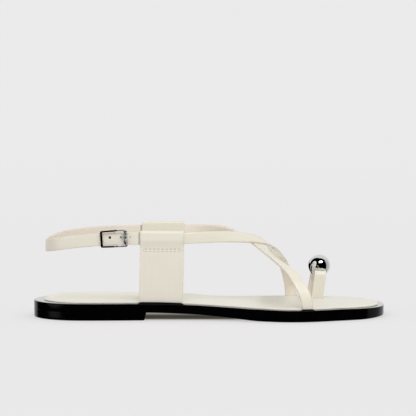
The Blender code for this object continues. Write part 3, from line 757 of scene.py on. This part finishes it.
def bandLoop(faceSteps=11, cornerSteps=5):
    # closed section of a flat band: a face and a rounded edge, then the same turned round. Columns: side of
    # the width, share of the corner across, side of the thickness, share of the corner in depth
    flat = np.linspace(-1, 1, faceSteps)
    turn = np.linspace(0, np.pi, 2 * cornerSteps + 1)[1:-1]
    side = np.where(np.cos(turn) >= 0, 1, -1)
    outer = np.column_stack((flat, 0 * flat, np.ones((faceSteps, 2))))
    right = np.column_stack((np.ones_like(turn), np.sin(turn), side, np.cos(turn)))
    return np.vstack((outer, right, -outer, -right))


def band(name, route, width, thickness, corner, material, scale=1.0, relief=None, feet=(), reach=0.0):
    # section carried along a route: place + across * a + outward * d, with relief on both faces
    t, place, along, outward, across = route
    place = place.copy()
    place[0] -= along[0] * reach
    place[-1] += along[-1] * reach
    loop = bandLoop()
    halfWidth = np.broadcast_to(np.asarray(width) / 2 * scale, len(t))[:, None]
    halfDepth = np.broadcast_to(np.asarray(thickness) / 2 * scale, len(t))[:, None]
    a = loop[:, 0] * (halfWidth - corner) + loop[:, 1] * corner
    d = loop[:, 2] * (halfDepth - corner) + loop[:, 3] * corner
    if relief:
        d = d + relief(t[:, None], a / halfWidth) * np.sign(loop[:, 3]) * (abs(loop[:, 3]) > faceFrom)
    points = place[:, None] + across[:, None] * a[..., None] + outward[:, None] * d[..., None]
    for end in feet:
        points[end, :, 2] = soleLevel(points[end, :, 0], "top") - strap["sink"]  # into the rim
    uv = np.stack((np.broadcast_to(t[:, None], a.shape), a), -1)
    face = np.broadcast_to(loop[:, 3], a.shape)
    return putMesh(name, points, cappedFaces(*a.shape), material, uv, face, sharp=50)


def softFace(t, share):
    # a low crown across the strap, and long shallow waves along its two edges
    return strap["crown"] * (1 - share ** 2) + waves(t, share, strap["edgeWaves"]) * share ** 2


def rippledFace(t, share):
    # lengthwise pleats of a ribbon that is bent tight, and the crease across it where the near leg bends
    return waves(t, share, toeLoop["pleats"]) + dents(t, toeLoop["crease"])


longRoute = strapRoute(strap["long"], strap["step"])
shortRoute = strapRoute(strap["short"], strap["step"])
loopRoute = strapRoute(toeLoop["path"], toeLoop["step"])


def makeStrap(name, route, scale=1.0, foot=0):
    # one strap, broader behind the tabs than in front of them, with one foot in the rim
    width = np.interp(route[1][:, 0], strap["tabX"], (strap["slingWidth"], strap["width"]))
    return band(name, route, width, strap["thickness"], strap["corner"], strapCream, scale, softFace, (foot,))


def makeStraps():
    # the long strap with its sling, and the short strap laid over it, pared where it starts
    longPiece = makeStrap("longStrap", longRoute)
    count = len(shortRoute[0])
    pared = np.interp(np.arange(count), (0, count / 4), (strap["skive"], 1))
    keep(makeStrap("shortStrap", shortRoute, pared, -1), "straps")
    return longPiece


def makeToeLoop():
    # the ribbon with both feet in the rim
    piece = band("toeLoopRibbon", loopRoute, toeLoop["width"], toeLoop["thickness"], strap["corner"], cream,
                 relief=rippledFace, feet=(0, -1))
    return keep(piece, "toe_loop")


def toeSlot():
    # the ribbon with room all round, for what it goes through
    width, thickness = (toeLoop[size] + toeLoop["slotRoom"] for size in ("width", "thickness"))
    corner, reach = toeLoop["slotCorner"], toeLoop["slotReach"]
    return band("toeSlot", loopRoute, width, thickness, corner, None, reach=reach)


longPiece = makeStraps()
makeToeLoop()
cutAway(insolePiece, toeSlot())
keep(insolePiece, "insole")
print("straps ready")


# tabs: a sheet folded over the strap and sewn together under it

tab = dict(
    x=(-51.0, -19.5), lean=1.0, top=dict(lateral=65.4, medial=66.7), wall=0.95, corner=0.38, sink=0.3,
    stem=1.0, room=2.3, openZ=(53.3, 58.6), straight=0.65, foldRadius=1.8,
    head=dict(lateral=(-32.0, -32.15, -32.0), medial=(25.9, 26.6, 27.0)), headX=(-52, -36, -20), headZ=55,
    stitchRows=(52.3, 50.3), stitchX=(-48.2, -22.9), pitch=3.0, stitch=2.2, thread=0.34,
    lowerRow=0.68, plyTurn=0.3,  # girth of the lower row, UV for a radian round the thread
    endStitch=(0.2, 0.8, 0.9),  # at each end of the rows: how far past, girth, length
    bedded=(0.75, 0.02, 0.30, 0.10),  # thread: flatness, lift, dip of its ends, sunk outside
    # relief as middle, width and height: thread lines, swell and pressed line; pressed edges; slow waves
    seam=((52.3, 0.45, -0.20), (50.3, 0.45, -0.20), (48.1, 0.9, 0.10), (48.3, 0.4, -0.10)), seamFade=1.5,
    edges=((-48.4, 0.5, -0.07), (-22.7, 0.5, -0.07)), edgesZ=(48, 42), waist=((32, 14, 0.10),), waistWave=5.1,
    stemRows=46, openRows=16, wallRows=6, foldRows=12, faceSteps=41, cornerSteps=4, stitchGrid=(11, 10))


def tabMiddle(side, x, z):
    # the band's middle line: from the seat on the rim it leans in to the strap by a quarter sine
    slope = soleSide(x + 1, side) / 2 - soleSide(x - 1, side) / 2
    foot = soleSide(x, side) + inward[side] * lips["seat"] * np.hypot(1, slope)
    low = soleLevel(x, "top")
    share = np.clip((z - low) / (tab["headZ"] - low), 0, 1)
    return foot + (np.interp(x, tab["headX"], tab["head"][side]) - foot) * np.sin(share * np.pi / 2)


def tabHalf(z):
    # half thickness of the whole band at a height: closed stem, then open round the strap
    low, high = tab["openZ"]
    share = np.clip((z - low) / (high - low), 0, 1)
    opening = tab["straight"] * share + (1 - tab["straight"]) * ease(share)
    return tab["stem"] + (tab["room"] - tab["stem"]) * opening


def tabFold(side):
    # one layer's way up from the stem as (half thickness, height): opening, tunnel wall and fold
    top, radius = tab["top"][side], tab["foldRadius"]
    c, s = quarter(tab["foldRows"])
    opening = np.linspace(*tab["openZ"], tab["openRows"])[1:]
    upper = np.concatenate((opening, np.linspace(opening[-1], top - radius, tab["wallRows"])[1:-1]))
    bend = radius - tab["wall"] / 2  # of the layer's own middle
    half = np.concatenate((tabHalf(upper), tab["room"] - bend + bend * c))
    return half, np.concatenate((upper, top - radius + bend * s))


def tabRelief(x, z):
    # lines across it at the seam, lines inside its upright edges and slow waves at the waist
    back, front = tab["stitchX"]
    span = ramp(x, (back - tab["seamFade"], back)) * ramp(x, (front + tab["seamFade"], front))
    upright = dents(x, tab["edges"]) * ramp(z, tab["edgesZ"])
    wavy = dents(z, tab["waist"]) * np.sin((x - tab["x"][0]) / tab["waistWave"])
    return dents(z, tab["seam"]) * span + upright + wavy


def makeTab(side):
    # sheet grid: rows up the outer layer, over the fold and down the inner one, by a rounded section in X
    outward = -inward[side]
    half, upper = tabFold(side)
    stem = np.linspace(0, 1, tab["stemRows"])
    loop = bandLoop(tab["faceSteps"], tab["cornerSteps"])
    corner = tab["corner"]
    x = np.mean(tab["x"]) + loop[:, 0] * (np.ptp(tab["x"]) / 2 - corner) + loop[:, 1] * corner
    low = soleLevel(x, "top") - tab["sink"]
    z = np.vstack((low + (tab["openZ"][0] - low) * stem[:, None], np.repeat(upper[:, None], len(x), axis=1)))
    room = np.concatenate((np.full(len(stem), tab["stem"]), half))[:, None] - tab["wall"] / 2
    room = np.broadcast_to(room, z.shape)
    z, room = np.vstack((z, z[::-1])), np.vstack((room, -room[::-1]))
    y = tabMiddle(side, x[None, :], z) + outward * room
    rise = (z - low) / (tab["top"][side] - low)
    middle = np.stack((np.broadcast_to(x, z.shape) + tab["lean"] * rise, y, z), -1)
    tangent = np.gradient(middle, axis=0) * (0, 1, 1)
    normal = unit(np.cross((1, 0, 0), tangent)) * -outward
    depth = loop[:, 2] * (tab["wall"] / 2 - corner) + loop[:, 3] * corner
    depth = depth + tabRelief(x[None, :], z) * (loop[:, 3] > faceFrom)
    points = middle + normal * depth[..., None]
    uv = np.stack(np.broadcast_arrays(runLength(middle[:, 0])[:, None], x), -1)
    face = np.broadcast_to(loop[:, 3], z.shape)
    piece = putMesh(side + "TabBand", points, cappedFaces(*z.shape), cream, uv, face, sharp=60)
    return keep(piece, side + "_tab")


def makeStitches(side):
    # two rows along X and a stitch at each end, each a capsule whose ends dip into the leather
    rows = np.array(tab["stitchRows"])
    past, endGirth, endLength = tab["endStitch"]
    flatness, raised, dip, sunk = tab["bedded"]
    x = np.arange(*tab["stitchX"], tab["pitch"]) + tab["pitch"] / 2
    level = np.stack([grid.ravel() for grid in np.meshgrid(x, rows)], -1)
    ends = [(tab["stitchX"][0] - past, rows.mean()), (x[-1] + tab["pitch"] / 2 + past, rows.mean())]
    places = np.vstack((level, ends))
    upright = (np.arange(len(places)) >= len(level))[:, None, None]
    share, angle = polarGrid(*tab["stitchGrid"])
    l, angle = 2 * share[None, :, :1] - 1, angle[None, :1]  # along a stitch and round it
    weight = np.concatenate((np.repeat((1, tab["lowerRow"]), len(x)), (endGirth, endGirth)))[:, None, None]
    girth = tab["thread"] * weight * (1 - l ** 4) ** 0.5
    reach = l * tab["stitch"] / 2 * np.where(upright, endLength, 1)
    wide = girth * np.cos(angle)
    lift = girth * flatness * np.sin(angle) + raised - dip * l ** 4
    px = places[:, 0, None, None] + np.where(upright, wide, reach)
    pz = places[:, 1, None, None] + np.where(upright, reach, wide)
    grids = []
    for layer in (1, -1):  # outer face and inner face of the band
        out = tabHalf(pz) - sunk * (layer > 0) + lift
        py = tabMiddle(side, px, pz) - inward[side] * layer * out
        grids.append(np.stack(np.broadcast_arrays(px + tab["lean"] * pz / tab["top"][side], py, pz), -1))
    grids = np.concatenate(grids)
    points, faces = joined((grid, gridFaces(*grid.shape[:2])) for grid in grids)
    uv = np.stack((grids[..., 0], np.broadcast_to(angle, grids.shape[:3]) * tab["plyTurn"]), -1)
    return keep(putMesh(side + "Stitches", points, faces, thread, uv), side + "_tab")


for side in inward:
    makeTab(side)
    makeStitches(side)
print("tabs ready")


# metal: ball on the toe loop and the buckle

ball = dict(radius=8.25, centre=(82.55, 30.4, 32.9), grid=(49, 96))

buckle = dict(
    x=-69.0, tilt=1.7, length=20.0, height=12.8, flare=0.004, corner=0.9, squareness=5.0,
    rail=0.66, endBar=0.95, rightBar=0.9, depth=0.55, barTurn=50,  # half widths and half depth of the bars
    raised=0.5, front=2.0, arch=0.5, roll=55, rollX=(-0.5, 2.5), thinned=0.5,
    centreBar=0.6, behind=1.9, bend=1.0, prong=0.5, up=1.3,
    # rollers and the prong's sleeve: middle, half length, half width, squareness unless round
    beads=((5.5, 0.9, 1.55), (3.8, 1.0, 1.55), (-2.4, 2.6, 1.25, 5.0)), sleeve=(1.7, 1.1, 1.55),
    beadBack=0.5, beadTip=0.01, beadSteps=25, frameSteps=(40, 13), barSides=32,
    # the prong's way: along the strap, then past the end bar and up; its dip, its lead and its drawn-out tip
    prongX=(0.9, 3.6, 4.8, 5.6, 6.8), prongEnds=((-0.6, 0.4), (0.7, 0.5)),
    prongDip=0.3, prongLead=0.1, prongTip=(0.3, 4), prongSteps=50,
    holes=((-3.0, 0.95), (5.2, 0.75), (11.9, 0.42)),  # along the strap, radius
    holeFloor=0.45, holeTop=3.0, plugFoot=0.25, plugTop=0.75, plugRoom=0.03)


def makeBall():
    # sphere by latitude and longitude, with the ribbon's slot cut through its lower part
    share, east = polarGrid(*ball["grid"])
    globe = facing(east + np.pi / 2, (share - 0.5) * np.pi)
    globe = np.array(ball["centre"]) + ball["radius"] * globe
    piece = putMesh("toeBall", globe, gridFaces(*ball["grid"]), chrome)
    cutAway(piece, toeSlot())
    return keep(piece, "toe_ball")


def buckleFrame():
    # strap frame under the buckle: origin, along, up across the strap, outward
    place, along, outward, across = longRoute[1:]
    here = int(np.argmin(np.where(place[:, 1] < 0, abs(place[:, 0] - buckle["x"]), np.inf)))
    origin = place[here] + along[here] * (buckle["x"] - place[here, 0]) / along[here, 0]
    return origin, np.stack((along[here], across[here], outward[here]))


def onStrap(points, tilt=0.0):
    # from the buckle's own frame to the shoe's, after a turn in the strap's plane
    origin, axes = buckleFrame()
    c, s = np.cos(np.radians(tilt)), np.sin(np.radians(tilt))
    return origin + points @ np.array(((c, s, 0), (-s, c, 0), (0, 0, 1))) @ axes


def tube(path, radius, closed=False, deep=None, sides=16, squareness=2.0, twist=0.0):
    # section carried along a path: half width in the strap's plane, half depth outward and a twist about the
    # path, each one number or one per point
    path = np.asarray(path, float)
    along = unit(np.roll(path, -1, 0) - np.roll(path, 1, 0) if closed else np.gradient(path, axis=0))
    out = np.array((0, 0, 1.0)) - along * along[:, 2:]
    out = np.where(np.linalg.norm(out, axis=1, keepdims=True) > 0.05, out, (1.0, 0, 0))
    out = unit(out - along * np.sum(out * along, axis=1, keepdims=True))
    across = np.cross(out, along)
    roll = np.broadcast_to(np.radians(twist), len(path))[:, None]
    across, out = across * np.cos(roll) + out * np.sin(roll), out * np.cos(roll) - across * np.sin(roll)
    angle = np.linspace(0, 2 * np.pi, sides, endpoint=False)[None, :]
    power = 2 / np.broadcast_to(squareness, len(path))[:, None]
    c = np.sign(np.cos(angle)) * abs(np.cos(angle)) ** power
    s = np.sign(np.sin(angle)) * abs(np.sin(angle)) ** power
    wide = c * np.broadcast_to(radius, len(path))[:, None]
    deep = s * np.broadcast_to(radius if deep is None else deep, len(path))[:, None]
    points = path[:, None] + across[:, None] * wide[..., None] + out[:, None] * deep[..., None]
    return points, gridFaces(len(path), sides, True) if closed else cappedFaces(len(path), sides)


def plated(name, shape, node, tilt=0.0, sharp=60):
    # a chrome piece from the points and faces of a tube
    return keep(putMesh(name, onStrap(shape[0], tilt), shape[1], chrome, sharp=sharp), node)


def frameLevel(x):
    # how far the frame's middle stands off the strap's middle: it is bowed along its length
    return buckle["front"] + buckle["arch"] * (1 - (2 * x / buckle["length"]) ** 2)


def makeBuckle():
    # rounded rectangle of flat bar whose rails roll up to the front, the centre bar bent behind, rollers
    halfLength = buckle["length"] / 2 - buckle["endBar"] - buckle["corner"]
    halfHeight = buckle["height"] / 2 - buckle["rail"] - buckle["corner"]
    corners, between = buckle["frameSteps"]
    turn = np.linspace(0, 2 * np.pi, corners, endpoint=False) + np.pi / corners
    circle = np.stack((np.cos(turn), np.sin(turn)), -1)
    path = np.sign(circle) * (halfLength, halfHeight) + buckle["corner"] * circle
    share = np.linspace(0, 1, between)[:-1, None]  # more points along the straight runs
    path = (path[:, None] + (np.roll(path, -1, axis=0) - path)[:, None] * share).reshape(-1, 2)
    upright = ease((abs(path[:, 0]) - halfLength) / buckle["corner"])
    front = upright * (path[:, 0] > 0)  # the end bar under the prong is turned on its edge
    width = buckle["rail"] + (buckle["endBar"] - buckle["rail"]) * upright
    width = width + (buckle["rightBar"] - buckle["endBar"]) * front
    roll = ramp(path[:, 0], buckle["rollX"]) * (1 - upright)
    twist = roll * buckle["roll"] * np.sign(path[:, 1]) + front * buckle["barTurn"]
    path[:, 1] = path[:, 1] * (1 + buckle["flare"] * path[:, 0]) + buckle["raised"]
    path = np.column_stack((path, frameLevel(path[:, 0])))
    deep = buckle["depth"] * (1 - buckle["thinned"] * roll)
    bar = tube(path, width, True, deep, buckle["barSides"], buckle["squareness"], twist)
    plated("buckleFrame", bar, "buckle_frame", buckle["tilt"], sharp=50)
    rail, behind, bend = buckle["height"] / 2 - buckle["rail"], -buckle["behind"], buckle["bend"]
    knots = [(0, rail, frameLevel(0)), (0, rail, behind + bend), (0, rail - bend, behind), (0, 0, behind)]
    knots += [(x, -y, z) for x, y, z in knots[2::-1]]
    centreBar = tube(np.array(knots) + (0, buckle["raised"], 0), buckle["centreBar"])
    plated("buckleCentreBar", centreBar, "buckle_frame", sharp=50)
    for row, bead in enumerate(buckle["beads"]):
        plated("buckleRoller%d" % row, endBead(*bead), "buckle_frame", buckle["tilt"])


def endBead(middle, half, width, squareness=2.0):
    # barrel on the end bar, drawn in to a point at both ends and turned with the bar
    l = np.sin(np.linspace(-np.pi / 2, np.pi / 2, buckle["beadSteps"]))
    x = buckle["length"] / 2 - buckle["endBar"] - buckle["beadBack"]
    path = np.column_stack((np.full_like(l, x), middle + l * half, np.full_like(l, frameLevel(x))))
    girth = width * (1 - abs(l) ** 3) ** 0.5 + buckle["beadTip"]
    return tube(path, girth, sides=buckle["barSides"], squareness=squareness, twist=buckle["barTurn"])


def makeProng():
    # wire from the centre bar behind the strap, out at the hole and on to the end bar, and its sleeve
    end, up = buckle["length"] / 2 - buckle["endBar"], buckle["up"]
    over = frameLevel(end) + buckle["depth"] + buckle["prong"]
    behind = buckle["prongLead"] - buckle["behind"]
    levels = (behind, behind, behind / 2, over / 2, over - buckle["prongDip"])
    knots = [(x, up, z) for x, z in zip(buckle["prongX"], levels)]
    knots += [(end + past, up + rise, over) for past, rise in buckle["prongEnds"]]
    path = naturalCubic(np.arange(len(knots)), knots, np.linspace(0, len(knots) - 1, buckle["prongSteps"]))
    blunt, drawn = buckle["prongTip"]
    taper = np.clip((np.arange(len(path))[::-1] + blunt) / drawn, 0, 1) ** 0.5  # over the last few points
    plated("buckleProng", tube(path, buckle["prong"] * taper), "buckle_prong")
    plated("buckleSleeve", endBead(*buckle["sleeve"]), "buckle_prong", buckle["tilt"])


def post(along, low, high, radius):
    # short rod out of the strap at a hole
    points, faces = tube([(along, buckle["up"], low), (along, buckle["up"], high)], radius, sides=20)
    return onStrap(points), faces


def punchHoles():
    # round holes in the sling at the buckle, each with a dark plug on its floor as painted shadow
    shadowPlugs = []
    for along, radius in buckle["holes"]:
        cutAway(longPiece, putMesh("rod", *post(along, buckle["holeFloor"], buckle["holeTop"], radius)))
        shadowPlugs.append(post(along, buckle["plugFoot"], buckle["plugTop"], radius + buckle["plugRoom"]))
    keep(longPiece, "straps")
    keep(putMesh("strapHoleShadows", *joined(shadowPlugs), holeShadow), "straps")


makeBall()
punchHoles()
makeBuckle()
makeProng()
print("metal ready")
